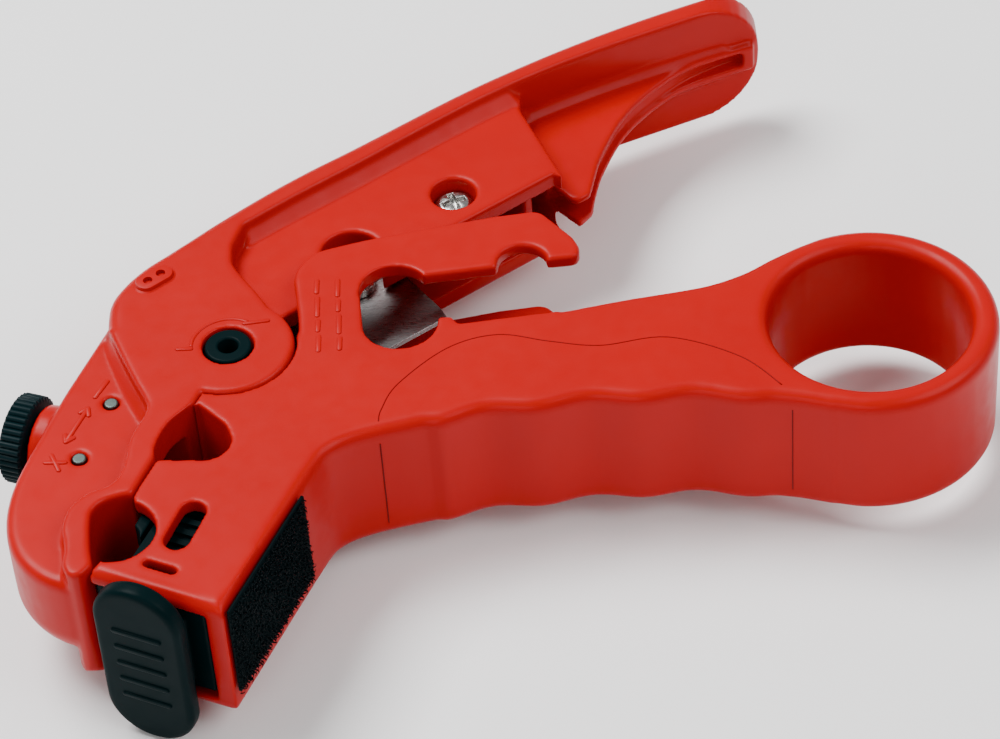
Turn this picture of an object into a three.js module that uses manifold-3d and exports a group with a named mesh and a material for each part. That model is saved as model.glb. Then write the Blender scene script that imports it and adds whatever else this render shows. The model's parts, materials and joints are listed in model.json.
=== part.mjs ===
// Rotary cable stripper and cutter: two moulded handles that turn about one pivot.
// Millimetres, +Z up, the tool lying flat. Plan coordinates (x, y) are drawn on the tool's
// mid-plane, z = 0, about which both handles are symmetric. The finished group is moved so
// that its box stands on z = 0 with its middle over the origin.

import * as THREE from 'three';
import { mergeVertices } from 'three/addons/utils/BufferGeometryUtils.js';
import Module from 'manifold-3d';

const wasm = await Module();
wasm.setup();

// ---- driving dimensions ----
const HALF = 8.9; // half the thickness of both handles
const GAP = 0.3; // clearance between neighbouring pieces
const BEYOND = 2; // how far a cutter runs past the face it cuts

const PIVOT = [-31.9, 7.8];
const DISC_RADIUS = 7.9; // the lever's two pivot discs
const DISC_FLOOR = 4.9; // height of the body's shoulder under each disc
const TONGUE_RADIUS = 7; // the body's tongue between the discs
const SLEEVE_RADIUS = 2.8;
const SLEEVE_BORE = 1.2;

const RING = [44, 4.3];
const RING_OUTER = 15.2;
const RING_INNER = 12;
const BODY_ROUND = 1.5; // edge radius of the body
const GUARD_THICK = 1.9; // each of the two guard plates beside the cutter

const LEVER_ROUND = 1.7; // edge radius of the lever's outer side
const JAW_ROUND = 4; // edge radius of the jaw's outer side, underneath
const FACE = 6.4; // height of the lever's recessed faces
const WALL = 2.4; // the lever's two side walls
const WEB = 2.1; // half thickness of the handle's web
const SLOT = 1.05; // half width of the slot inside the web
const TIP_RADIUS = 8.4; // rounding of the handle's end, seen along Y

const BLADE_HALF = 0.6; // half the cutter blade's thickness
const BLADE_ANGLE = 32.9; // direction of the blade's cutting edge at rest, degrees
const BLADE_EDGE = -4.8; // where that edge lies, measured from the pivot across it
const REAR_SCREW = [21.9, 6.4]; // the blade's own screw, along and across the blade
const FRONT_SCREW = [37.8, 7.1]; // the screw that ties the lever's two walls
const SCREW_RADIUS = 1.45;
const TIE_SEAT = 3.3; // height under the front screw's head

const KNOB = [-56.8, 3.6]; // middle of the adjuster knob
const KNOB_ANGLE = -22.3; // direction from the knob into the first stripping hole
const CARRIER_SIDES = [-5.4, 1.5]; // the blade carrier's two sides, across that direction
const CARRIER_HALF = 4.1;

const CASSETTE = [-42.9, -29.05]; // middle of the cassette, on the end face of the body
const CASSETTE_ANGLE = 63.3; // direction from there into the body
const CASSETTE_WIDTH = 10;
const CASSETTE_LENGTH = 18;
const CASSETTE_HALF = 6.7; // half the cassette's thickness
const HEAD_SIDES = [-8.8, 5]; // the cassette's head at the end face, across that direction
const HEAD_DEPTH = 2.9;
const PAD_THICK = 0.8;
const PAD_HEIGHTS = [-5.1, 8.3];

const ARC_STEP = [12, 30]; // least and greatest degrees between the points of an arc
const ARC_CHORD = 40; // degrees between those points, times the radius, in the range between
const CURVE_STEP = 1.8; // spacing of the points of a free curve
const SAME_POINT = 0.06; // points nearer than this are one
const FINE_ROUND = 0.5; // edge radii below this are cut as one flat

// ---- materials ----
const red = finish('#d3302c', 0.38, 0);
const slate = finish('#24363a', 0.5, 0);
const hook = finish('#14201f', 0.95, 0);
const steel = finish('#b4b8b8', 0.3, 0.95);
const spring = finish('#8d9192', 0.35, 0.95);

function finish(color, roughness, metalness) {
  return new THREE.MeshStandardMaterial({ color, roughness, metalness });
}

// ---- outlines: lists of [x, y] ----
function arc([cx, cy], radius, from, to) {
  const step = THREE.MathUtils.clamp(ARC_CHORD / radius, ...ARC_STEP);
  const count = Math.max(2, Math.ceil(Math.abs(to - from) / step));
  return Array.from({ length: count + 1 }, (_, i) => {
    const angle = THREE.MathUtils.degToRad(from + ((to - from) * i) / count);
    return [cx + radius * Math.cos(angle), cy + radius * Math.sin(angle)];
  });
}

function circle(centre, radius) {
  return arc(centre, radius, 0, 360).slice(1);
}

function curve(points) {
  const line = new THREE.SplineCurve(points.map(([x, y]) => new THREE.Vector2(x, y)));
  const count = Math.max(points.length, Math.ceil(line.getLength() / CURVE_STEP));
  return line.getSpacedPoints(count).map((p) => [p.x, p.y]);
}

// A polygon whose corners [x, y, radius] are rounded where a radius is given.
function rounded(corners) {
  return corners.flatMap(([x, y, radius = 0], i) => {
    if (!radius) return [[x, y]];
    const corner = new THREE.Vector2(x, y);
    const [before, after] = [corners.at(i - 1), corners[(i + 1) % corners.length]].map(
      ([a, b]) => new THREE.Vector2(a, b).sub(corner).normalize(),
    );
    const half = Math.acos(THREE.MathUtils.clamp(before.dot(after), -1, 1)) / 2;
    const middle = before.clone().add(after).normalize();
    const centre = corner.clone().addScaledVector(middle, radius / Math.sin(half));
    const start = corner.clone().addScaledVector(before, radius / Math.tan(half)).sub(centre);
    const end = corner.clone().addScaledVector(after, radius / Math.tan(half)).sub(centre);
    const from = THREE.MathUtils.radToDeg(start.angle());
    let turn = THREE.MathUtils.radToDeg(end.angle()) - from;
    if (turn > 180) turn -= 360;
    if (turn < -180) turn += 360;
    return arc([centre.x, centre.y], radius, from, from + turn);
  });
}

function box2([x0, x1], [y0, y1]) {
  return [[x0, y0], [x1, y0], [x1, y1], [x0, y1]];
}

// Points given along and across a direction, moved into plan coordinates.
function along([cx, cy], degrees, points) {
  const angle = THREE.MathUtils.degToRad(degrees);
  const [c, s] = [Math.cos(angle), Math.sin(angle)];
  return points.map(([a, b]) => [cx + a * c - b * s, cy + a * s + b * c]);
}

const onBlade = (points) => along(PIVOT, BLADE_ANGLE, points);
const onKnob = (points) => along(KNOB, KNOB_ANGLE, points);
const onCassette = (points) => along(CASSETTE, CASSETTE_ANGLE, points);

// A closed loop of distinct points, where joined stretches share their ends.
function loop(points) {
  return points
    .filter(([x, y], i) => {
      const [a, b] = points.at(i - 1);
      return Math.hypot(x - a, y - b) > SAME_POINT;
    })
    .map(([x, y]) => new THREE.Vector2(x, y));
}

// ---- solids ----
function extruded(points, low, high, round = 0, holes = [], segments = 3) {
  const shape = new THREE.Shape(loop(points));
  shape.holes = holes.map((hole) => new THREE.Path(loop(hole)));
  const geometry = new THREE.ExtrudeGeometry(shape, {
    depth: high - low - 2 * round,
    bevelEnabled: round > 0,
    bevelThickness: round,
    bevelSize: round,
    bevelOffset: -round,
    bevelSegments: round < FINE_ROUND ? 1 : segments,
  });
  return geometry.translate(0, 0, low + round);
}

function solid(geometry) {
  geometry.deleteAttribute('normal');
  geometry.deleteAttribute('uv');
  const merged = mergeVertices(geometry, 1e-4);
  return new wasm.Manifold(
    new wasm.Mesh({
      numProp: 3,
      vertProperties: new Float32Array(merged.attributes.position.array),
      triVerts: new Uint32Array(merged.index.array),
    }),
  );
}

function slab(points, low, high, round = 0, holes = []) {
  return solid(extruded(points, low, high, round, holes));
}

// A slab whose edges are cut back by one flat slope.
function sloped(points, low, high, size) {
  return solid(extruded(points, low, high, size, [], 1));
}

// The same slab above and below the mid-plane.
function pair(points, low, high, round = 0) {
  return slab(points, low, high, round).add(slab(points, -high, -low, round));
}

function through(points) {
  return slab(points, -HALF - BEYOND, HALF + BEYOND);
}

// A turned solid from [radius, height] steps, its axis laid along a plan direction.
function turned(profile, [x, y], degrees, segments = 24) {
  const geometry = new THREE.LatheGeometry(
    profile.map(([r, h]) => new THREE.Vector2(r, h)),
    segments,
  );
  geometry.rotateZ(-Math.PI / 2);
  geometry.rotateZ(THREE.MathUtils.degToRad(degrees));
  return solid(geometry.translate(x, y, 0));
}

// A turned solid standing upright on the plan.
function upright(profile, [x, y], segments = 24) {
  const geometry = new THREE.LatheGeometry(
    profile.map(([r, h]) => new THREE.Vector2(r, h)),
    segments,
  );
  return solid(geometry.rotateX(Math.PI / 2).translate(x, y, 0));
}

function joined(solids) {
  return solids.reduce((sum, part) => sum.add(part));
}

function cut(base, cutters) {
  return cutters.reduce((rest, cutter) => rest.subtract(cutter), base);
}

const group = new THREE.Group();

function node(name, shape, material) {
  const { vertProperties, triVerts } = shape.getMesh();
  const geometry = new THREE.BufferGeometry();
  geometry.setAttribute('position', new THREE.BufferAttribute(vertProperties, 3));
  geometry.setIndex(new THREE.BufferAttribute(triVerts, 1));
  const mesh = new THREE.Mesh(geometry, material);
  mesh.name = name;
  group.add(mesh);
}

// ---- holes shared by the two jaws ----
// First stripping hole: a teardrop between the jaw (left) and the body (right).
const teardropBody = [[-35.6, -1.4], [-32.4, -5.1], ...arc([-34.6, -7.8], 3, 20, -95),
  [-40.4, -10.2], [-37, -4]];
const teardropJaw = [[-36.3, -1.6], [-38.7, -4], [-40, -6.5], [-40.5, -8.5], [-40.4, -10.2],
  [-34, -10.5], [-34, -2]];
// Second stripping hole: round, for coaxial cable.
const coaxBody = arc([-45, -20.8], 4.8, 84, -110);
const coaxJaw = curve([[-43.2, -15.2], [-46, -15.9], [-47.5, -17.5], [-47.7, -20], [-47.6, -23.3],
  [-47.3, -25.8]]);

// ---- main body ----
const bodyTop = curve([[7.8, 9.7], [16, 11], [22, 11.7], [26, 12.4], [30, 13.9], [33, 15.7],
  [36, 17.3]]);
// The lower side of the grip, with shallow finger scallops.
const scallop = (x) => 0.45 * Math.cos((2 * Math.PI * (x - 10)) / 12);
const bodyBottom = curve([[38, -9.8], [34, -8.4], [30, -7.5], [24, -6.5], [17, -6], [10, -5.8],
  [0, -6.2], [-6, -6.9], [-14, -8.3], [-18, -9.4], [-20.6, -11], [-22.4, -14]])
  .map(([x, y]) => [x, x > -8 && x < 31 ? y + scallop(x) : y]);
const bodySide = [[-32.8, -34.5], [-23.9, -16.9]]; // the flat side that carries the pad
const bodyOutline = [
  ...arc(RING, RING_OUTER, 118, -112),
  ...bodyBottom,
  ...[...bodySide].reverse(), [-47.9, -27],
  [-47, -10], [-42, 5], [-40, 16], [-26, 16],
  [-24.2, 9.4], [-6.4, 9.8], [-5.2, 10], [-4.5, 8.8],
  ...bodyTop,
];

// One guard plate: the cover over the blade that the cable is laid against.
const guardOutline = [
  [-23.5, 4], [-23.5, 12], [-23.9, 18],
  ...curve([[-23.7, 19.6], [-22.3, 22], [-20.3, 23.3]]),
  [-14, 24.7], [-6, 25.9], [0, 26.8],
  ...curve([[5.2, 27.2], [6.3, 27], [7, 26.3]]),
  ...curve([[9.9, 22.3], [10.7, 20.4], [10.6, 18.9]]),
  [10, 18.4], [6.8, 18.3],
  ...arc([3.7, 18.2], 3, 0, 180),
  [0.4, 17.7], [-7.9, 17.2], [-8, 12], [-6.4, 9.9], [-5.2, 10], [-4.5, 8.6], [7.6, 9.4], [9, 4],
];
const cutterHole = [
  ...arc([-11.9, 15.1], 4.2, 30, 180),
  ...arc([-11.4, 9.5], 4.5, 190, 355),
  [-6.6, 10.6],
];
const cableMouth = [[-9, 10.6], [-5.9, 10.6], [-4.4, 8.6], [7.5, 9.4], [14, 12], [14, 17.6],
  [-9, 17.1]];

// The space that the lever fills beside the body, less the tongue that it turns about.
function leverSpace() {
  const plan = [[-35, 0.1], [-36, -1.8], [-36.3, -6], [-40.2, -10.2], [-42.7, -15.4], [-43, -21],
    [-46.9, -25.7], [-47.9, -27.1], [-47.9, -40], [-75, -40], [-75, 40], [-24.2, 40],
    [-24.2, 8.2], PIVOT];
  return through(plan).subtract(slab(circle(PIVOT, TONGUE_RADIUS), -DISC_FLOOR, DISC_FLOOR));
}

// The slot in the body that the cutter blade drops into as the lever closes.
const bladeSlot = [[-19.4, 12], [-19.4, 3.6], [-2.8, 5.3], [-2.8, 12]];

function mainBody() {
  const blank = slab(bodyOutline, -HALF, HALF, BODY_ROUND, [circle(RING, RING_INNER)]);
  const guards = pair(guardOutline, HALF - GUARD_THICK, HALF, 0.35);
  const open = CASSETTE_WIDTH; // past the body's side, which the channel is open along
  const channel = box2([-BEYOND, CASSETTE_LENGTH + GAP], [-CASSETTE_WIDTH / 2 - GAP, open]);
  const headRoom = box2([-BEYOND, HEAD_DEPTH + GAP], [HEAD_SIDES[0] - GAP, open]);
  const window = along([-36.9, -20.9], CASSETTE_ANGLE + 3,
    [...arc([2.3, 0], 1.5, -90, 90), ...arc([-2.3, 0], 1.5, 90, 270)]);
  const slit = along([-39.7, -27], CASSETTE_ANGLE - 90, box2([-2.1, 2.1], [-0.5, 0.5]));
  return cut(cut(blank, [leverSpace()]).add(cut(guards, [through(cableMouth)])), [
    pair(circle(PIVOT, DISC_RADIUS + GAP), DISC_FLOOR, HALF + BEYOND),
    through(cutterHole),
    through(teardropBody),
    through(coaxBody),
    slab(bladeSlot, -BLADE_HALF - GAP, BLADE_HALF + GAP),
    slab(onCassette(channel), -CASSETTE_HALF - GAP, CASSETTE_HALF + GAP),
    slab(onCassette(headRoom), -CASSETTE_HALF - GAP, CASSETTE_HALF + GAP),
    slab(window, 0, HALF + BEYOND),
    slab(slit, 0, HALF + BEYOND),
    slab(circle(PIVOT, SLEEVE_RADIUS + GAP), -HALF, HALF),
    slab(circle(PIVOT, SPRING_RADIUS + 1.1), -SPRING_HALF - GAP, SPRING_HALF + GAP),
    slab(springWindow, ...SPRING_LEG),
    slab(springSeat, -SPRING_LEG[1], -SPRING_LEG[0]),
  ]);
}

// ---- lever ----
const backOuter = curve([[-46.4, 13], [-46.2, 17], [-44.8, 19.9], [-42.5, 22.7], [-40, 24.8],
  [-32, 31.3], [-24, 37.2], [-14, 43.5], [-6, 48.7], [0, 52.4], [8, 56.7], [16, 60.5],
  [24, 63.8], [32, 66.7], [37, 68.3]]);
const spineInner = curve([[37, 64.4], [31, 62.5], [24, 59.9], [16, 56.8], [8, 53.2], [0, 48.8],
  [-8, 43.6], [-16, 38.2], [-24, 33], [-29.8, 28.9]]);
const recessSide = curve([[-31.1, 25.6], [-31.3, 22.6], [-30.5, 20.5], [-28.5, 17], [-26.5, 13],
  [-24.8, 9]]);
const rimOuter = curve([[-50.3, -26.8], [-50.9, -25], [-50.6, -22.8], [-51, -20], [-50.5, -17],
  [-48.5, -14.6], [-46, -13.5], [-44.6, -12], [-44, -9.5], [-43.4, -6], [-42, -3],
  [-41.5, -1], [-43, 3], [-44.8, 8], [-46.2, 12.3]]);
const jawTip = [[-48.4, -27.1], [-49.4, -27.4]];
const discEdge = arc(PIVOT, DISC_RADIUS, 0, -113);
const jawMating = [[-35.9, -1.4], [-36.3, -2.1], [-40.6, -10], [-43, -15.3], ...coaxJaw];

// Full thickness: the back, the spine along the handle, the rim of the jaw and the discs.
// Its outer side is well rounded and its inner edges are crisp, so it is the overlap of two
// slabs, and each one runs past the other's edge.
const outerSide = [...backOuter, [48, 60], [20, -60], [-62, -60], [-62, 0]];
const innerSide = [[-52, 16], [-44, 30], [-4, 60], [44, 76], ...spineInner, ...recessSide,
  ...discEdge, ...jawMating, ...jawTip, ...rimOuter];
// The slope from the upper part of the rim down to the jaw's recessed face.
const rimSlope = [[-47.3, 13.6], [-46.2, 8.6], [-44.5, 3.2], [-42.5, -1.8], [-39, -2.4],
  [-35, 4], [-35, 14]];
// The slope from the spine down to the recessed face of the side wall.
const spineSlope = [...curve([[5.3, 49.9], [0, 46.8], [-8, 41.6], [-16, 36.2], [-24, 31],
  [-29.6, 27.2]]), [-33, 31], [-10, 60], [5.3, 58]];
// The cove along the foot of the spine, where it meets the web.
const WEB_COVE = 1.2;
const webCove = [...curve([[33, 62.3], [24, 58.7], [16, 55.6], [8, 52], [5, 50.4]]),
  ...curve([[5, 54], [16, 59.3], [24, 62.6], [33, 66]])];
// The underside's plate, which reaches past the end of the hook.
const hookPlate = [[13.2, 37.2], [10.6, 34.2], [8.5, 34.2], [6, 38], [9, 42], [13.6, 40]];
// The jaw's lower level, outside the rim: its outer side, and its other sides.
const jawOuter = curve([[-46.8, 15.3], [-50, 8.4], [-52, 4], [-54, -1], [-56.2, -6.6],
  [-57.4, -10.5], [-57.9, -14], [-57.8, -17], [-57.2, -19.8], [-55.9, -22.4], [-54, -24.6],
  [-51.6, -26.3], [-49.4, -27.1]]);
const jawInner = [...[[-48.4, -27.1], ...[...coaxJaw].reverse()], [-43, -15.3], [-40.6, -10],
  [-36.3, -2.1], [-38, 14], [-46.2, 16.4]];
const jawBeyond = [[-38, -34], [-20, -34], [-20, 30], [-40, 30]];
const wallOutline = [
  ...curve([[5, 52.2], [-4, 47], [-16, 39.2], [-24, 34], [-29, 30.2], [-32, 24]]),
  [-31, 16], [-24.8, 9],
  ...onBlade([[8.4, 2.1], [49.6, 2.1]]),
  [9.7, 35.9], [5.3, 48.8],
];
const webOutline = [
  ...curve([[36.4, 65.4], [28, 62.6], [16, 58], [4, 52.4]]),
  [3, 46], ...curve([[7.6, 39], [9.2, 37.4], [10.8, 35.9], [13, 36.9], [13.4, 38.4]]),
  ...curve([[14.3, 42], [15.3, 44.9], [17.9, 50.4], [21.4, 55], [26.5, 59.4], [31.6, 61.6],
    [36.2, 63.1]]),
];

// The hollow between the lever's side walls, open along their lower edge.
function leverHollow() {
  const space = onBlade(rounded([[7, -9], [52, -9], [50, 13.5, 2], [30, 15, 2], [12, 14, 2],
    [7, 6]]));
  const bladeBlock = onBlade([[13.6, 3.2], [28, 3.2], [28, 11.5], [13.6, 11.5]]);
  const tie = onBlade(circle(FRONT_SCREW, 4.2));
  const rib = onBlade(box2([45.4, 46.8], [3, 16]));
  const top = FACE - WALL;
  return cut(slab(space, -top, top), [
    slab(bladeBlock, -top, top),
    slab(tie, -top, top),
    slab(rib, -top, top),
  ]);
}

// The rounding of the handle's free end, as the block outside it.
function tipCutter() {
  const end = 37;
  const block = box2([end - TIP_RADIUS, end + 8], [-HALF - BEYOND, HALF + BEYOND]);
  const kept = arc([end - TIP_RADIUS, HALF - TIP_RADIUS], TIP_RADIUS, 0, 90);
  const keptLow = arc([end - TIP_RADIUS, TIP_RADIUS - HALF], TIP_RADIUS, -90, 0);
  const upright = (points, low, high) =>
    solid(extruded(points, low, high).rotateX(Math.PI / 2));
  const nose = [[end - TIP_RADIUS - 1, -HALF], ...keptLow, ...kept, [end - TIP_RADIUS - 1, HALF]];
  return upright(block, -90, -55).subtract(upright(nose, -90, -55));
}

function leverPlan() {
  const back = slab(outerSide, -HALF, HALF, LEVER_ROUND)
    .intersect(joined([
      slab(innerSide, -HALF, HALF, 0.4),
      sloped(rimSlope, -HALF, HALF, HALF - FACE),
      sloped(spineSlope, -HALF, HALF, HALF - FACE),
    ]));
  const jawSide = [...jawOuter, ...jawBeyond];
  const jaw = slab([...jawOuter, ...jawInner], -FACE, FACE, 0.3)
    .intersect(slab(jawSide, -FACE - LEVER_ROUND, FACE, 1.2))
    .intersect(slab(jawSide, -FACE, FACE + JAW_ROUND, JAW_ROUND));
  const walls = slab(wallOutline, -FACE, FACE, 0.3);
  const web = slab(webOutline, -WEB, WEB, 0.3).add(slab(hookPlate, -WEB, -SLOT))
    .add(sloped(webCove, -WEB - WEB_COVE, WEB + WEB_COVE, WEB_COVE));
  const tipEnd = [[-80, -27.4], [60, -27.4], [60, 90], [-80, 90]];
  const disc = slab(circle(PIVOT, DISC_RADIUS), -HALF, HALF, 0.4);
  return joined([back, jaw, walls, web, disc]).intersect(slab(tipEnd, -HALF, HALF + 4, 2.4));
}

function lever() {
  const webSlot = [[6, 30], [6, 40], [11, 40.6], ...curve([[12.6, 41], [14.4, 45], [17.3, 51],
    [21, 55.6], [26.3, 60.4], [31.5, 63.2], [34.4, 64.2]]), [34.9, 62.2], [20, 50], [16, 38],
    [14, 30]];
  const blade = onBlade(box2([13.1, 28.2], [-9, 10.4]));
  const boss = turned([[0, 1.9], [4.4, 1.9], [4.7, 2.3], [4.8, 4.5], [5.2, 7], [5.2, 10], [0, 10]],
    KNOB, KNOB_ANGLE);
  const carrier = onKnob(box2([8.4, 24], [CARRIER_SIDES[0] - GAP, CARRIER_SIDES[1] + GAP]));
  const clipRoom = onKnob(box2([6.4, 7.6], [-2.8, 2.8]));
  return cut(leverPlan().add(boss), [
    tipCutter(),
    leverHollow(),
    slab(circle(PIVOT, TONGUE_RADIUS + GAP + 0.1), -DISC_FLOOR - GAP, DISC_FLOOR + GAP),
    slab(bodyMiddle(), -DISC_FLOOR - GAP, DISC_FLOOR + GAP),
    slab(webSlot, -SLOT, SLOT),
    slab(blade, -BLADE_HALF - GAP, BLADE_HALF + GAP),
    slab(onBlade(circle(REAR_SCREW, 3.7)), BLADE_HALF, HALF),
    slab(onBlade(circle(REAR_SCREW, SCREW_RADIUS + GAP)), -4.6, BLADE_HALF),
    slab(onBlade(circle(FRONT_SCREW, 2.8)), TIE_SEAT - 0.1, HALF),
    slab(onBlade(circle(FRONT_SCREW, SCREW_RADIUS + GAP)), -4.6, HALF),
    slab(circle(PIVOT, SLEEVE_RADIUS + GAP), -HALF - BEYOND, HALF + BEYOND),
    slab(carrier, -CARRIER_HALF - GAP, CARRIER_HALF + GAP),
    slab(clipRoom, -2.8, 2.8),
    turned([[0, 1], [SCREW_RADIUS + GAP, 1], [SCREW_RADIUS + GAP, 12], [0, 12]], KNOB, KNOB_ANGLE),
    ...pinPlaces.map((place) => slab(onKnob(circle(place, PIN_RADIUS + 0.15)), -HALF, HALF)),
    slab(springCatch, ...SPRING_LEG),
    through(teardropJaw),
  ]);
}

// The body's middle beside the disc, which the lever must not fill at any angle.
function bodyMiddle() {
  return [PIVOT, ...arc(PIVOT, 9.2, -112, 40)];
}

// ---- pivot and spring ----
const SPRING_RADIUS = 4.1;
const SPRING_WIRE = 0.45;
const SPRING_HALF = 3; // half the height of the wound spring
const SPRING_TURNS = 4;
const SPRING_START = 158; // direction of the leg held by the lever, degrees
const SPRING_END = -40; // direction of the leg held by the body, degrees
const SPRING_LEG = [1.9, 3.3]; // heights between which a leg lies
// The lever's pocket for its leg, the body's for the other, and the leg's way past the tongue.
const springCatch = along(PIVOT, SPRING_START, box2([3, 9.3], [-5, -3.2]));
const springSeat = along(PIVOT, SPRING_END, box2([-1, 8.6], [3.2, 5]));
const springWindow = [PIVOT, ...arc(PIVOT, 9, SPRING_START - 120, SPRING_START - 30)];

function returnSpring() {
  const start = SPRING_START - 90;
  const turn = 360 * SPRING_TURNS + SPRING_START - SPRING_END - 180;
  const height = SPRING_HALF - SPRING_WIRE;
  const onCoil = (degrees, z, reach = 0) => {
    const angle = THREE.MathUtils.degToRad(degrees);
    const [c, s] = [Math.cos(angle), Math.sin(angle)];
    return new THREE.Vector3(SPRING_RADIUS * c - reach * s, SPRING_RADIUS * s + reach * c, z);
  };
  const steps = SPRING_TURNS * 10;
  const coil = Array.from({ length: steps + 1 }, (_, i) =>
    onCoil(start - (turn * i) / steps, height * (1 - (2 * i) / steps)));
  const legReach = [8, 4, 1.5];
  const path = new THREE.CatmullRomCurve3([
    ...legReach.map((reach) => onCoil(start, height, reach)),
    ...coil,
    ...legReach.map((reach) => onCoil(start - turn, -height, -reach)).reverse(),
  ]);
  const section = new THREE.Shape(
    Array.from({ length: 6 }, (_, i) => (Math.PI * i) / 3)
      .map((t) => new THREE.Vector2(SPRING_WIRE * Math.cos(t), SPRING_WIRE * Math.sin(t))),
  );
  const geometry = new THREE.ExtrudeGeometry(section, {
    steps: steps + 2 * legReach.length,
    extrudePath: path,
    bevelEnabled: false,
  });
  return solid(geometry.translate(PIVOT[0], PIVOT[1], 0));
}

function pivotSleeve() {
  const end = HALF - 0.05;
  const profile = [[SLEEVE_BORE, -end], [SLEEVE_RADIUS - 0.2, -end], [SLEEVE_RADIUS, 0.2 - end],
    [SLEEVE_RADIUS, end - 0.2], [SLEEVE_RADIUS - 0.2, end], [SLEEVE_BORE + 0.2, end],
    [SLEEVE_BORE, end - 0.2], [SLEEVE_BORE, -end]];
  return upright(profile, PIVOT, 30);
}

// ---- cutter blade and its screws ----
function cutterBlade() {
  const outline = onBlade(rounded([[13.6, BLADE_EDGE], [27.8, BLADE_EDGE], [27.8, 10, 1],
    [13.6, 10, 1]]));
  const bevel = new THREE.Shape([new THREE.Vector2(-1, 0), new THREE.Vector2(-0.05, 0),
    new THREE.Vector2(1.8, BLADE_HALF + 0.1), new THREE.Vector2(-1, BLADE_HALF + 0.1)]);
  const bevelBlock = new THREE.ExtrudeGeometry(bevel, { depth: 24, bevelEnabled: false });
  // Turned so that its length runs along the blade and its section faces the cutting edge.
  bevelBlock.applyMatrix4(new THREE.Matrix4().set(0, 0, 1, 0, 1, 0, 0, 0, 0, 1, 0, 0, 0, 0, 0, 1));
  bevelBlock.translate(8, BLADE_EDGE, 0);
  bevelBlock.rotateZ(THREE.MathUtils.degToRad(BLADE_ANGLE));
  bevelBlock.translate(PIVOT[0], PIVOT[1], 0);
  return cut(slab(outline, -BLADE_HALF, BLADE_HALF), [
    solid(bevelBlock),
    slab(onBlade(circle(REAR_SCREW, SCREW_RADIUS + 0.2)), -HALF, HALF),
  ]);
}

// A cross-headed screw with its head's underside at the given height.
function screw([x, y], seat, headRadius, tip) {
  const crown = seat + 1.9;
  const body = upright([[0, tip], [SCREW_RADIUS - 0.5, tip], [SCREW_RADIUS, tip + 0.6],
    [SCREW_RADIUS, seat], [headRadius, seat], [headRadius, seat + 1],
    [headRadius * 0.72, crown - 0.25], [0, crown]], [x, y]);
  const bar = box2([-headRadius * 0.6, headRadius * 0.6], [-0.4, 0.4]);
  const recess = [20, 110].map((turn) => slab(along([x, y], turn, bar), seat + 0.7, HALF + 9));
  return cut(body, recess);
}

// ---- stripping depth adjuster ----
const PIN_RADIUS = 0.85;
const pinPlaces = [[10.55, CARRIER_SIDES[1] + 1.25], [10.55, CARRIER_SIDES[0] - 1.25]];

function adjusterKnob() {
  const teeth = 24;
  const outline = Array.from({ length: teeth * 4 }, (_, i) => {
    const radius = i % 4 < 2 ? 5.5 : 5.15;
    const angle = (2 * Math.PI * i) / (teeth * 4);
    return [radius * Math.cos(angle), radius * Math.sin(angle)];
  });
  const disc = extruded(outline, -1.5, 1.5);
  disc.rotateY(Math.PI / 2);
  disc.rotateZ(THREE.MathUtils.degToRad(KNOB_ANGLE));
  disc.translate(KNOB[0], KNOB[1], 0);
  const bore = [[0, -0.3], [SCREW_RADIUS + 0.15, -0.3], [SCREW_RADIUS + 0.15, 3], [0, 3]];
  const coin = along(KNOB, KNOB_ANGLE, box2([-3, -0.9], [-3.2, 3.2]));
  const edges = [[0, -1.5], [5.1, -1.5], [5.6, -1], [5.6, 1], [5.1, 1.5], [0, 1.5]];
  return cut(solid(disc).intersect(turned(edges, KNOB, KNOB_ANGLE, 40)), [
    turned(bore, KNOB, KNOB_ANGLE),
    slab(coin, -0.5, 0.5),
  ]);
}

function adjusterScrew() {
  const r = SCREW_RADIUS;
  const thread = [];
  for (let h = 8.2; h < 15; h += 1) thread.push([r, h], [r - 0.25, h + 0.5]);
  return turned([[0, 0], [r, 0], [r, 6.6], [r - 0.4, 6.6], [r - 0.4, 7.4], [r, 7.4], ...thread,
    [r - 0.4, 15.6], [0, 15.6]], KNOB, KNOB_ANGLE, 18);
}

function retainingClip() {
  const inner = SCREW_RADIUS - 0.25;
  const ring = turned([[inner, 6.75], [2.5, 6.75], [2.5, 7.25], [inner, 7.25], [inner, 6.75]],
    KNOB, KNOB_ANGLE);
  return ring.subtract(slab(onKnob(box2([6, 8], [-0.6, 0.6])), 0, 5));
}

const NOSE = [19.65, 15.25]; // how far the carrier's nose reaches, at its two sides

function bladeCarrier() {
  const [low, high] = CARRIER_SIDES;
  const block = slab(onKnob([[9.1, low], [NOSE[0], low], [NOSE[0] + 0.2, low + 1.4],
    [NOSE[1] + 1.6, high], [9.1, high]]), -CARRIER_HALF, CARRIER_HALF, 0.3);
  return cut(block, [
    turned([[0, 0], [SCREW_RADIUS + GAP, 0], [SCREW_RADIUS + GAP, 16.2], [0, 16.2]], KNOB,
      KNOB_ANGLE),
    slab(onKnob(box2([12, 14.6], [-2.6, 1])), -2.3, CARRIER_HALF + 1),
    slab(onKnob(box2([13.9, 24], [low + 0.9, low + 1.7])), -3.2, CARRIER_HALF + 1),
  ]);
}

function carrierNut() {
  const block = slab(onKnob(box2([12.3, 14.3], [-2.35, 0.75])), -2.05, 2.05);
  return block.subtract(turned([[0, 10], [SCREW_RADIUS + 0.1, 10], [SCREW_RADIUS + 0.1, 20],
    [0, 20]], KNOB, KNOB_ANGLE));
}

function strippingBlade() {
  const y = CARRIER_SIDES[0] + 1.3;
  return slab(onKnob([[14.3, y - 0.2], [19.7, y - 0.2], [20.4, y + 0.2], [14.3, y + 0.2]]),
    -2.9, CARRIER_HALF - 0.5);
}

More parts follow.
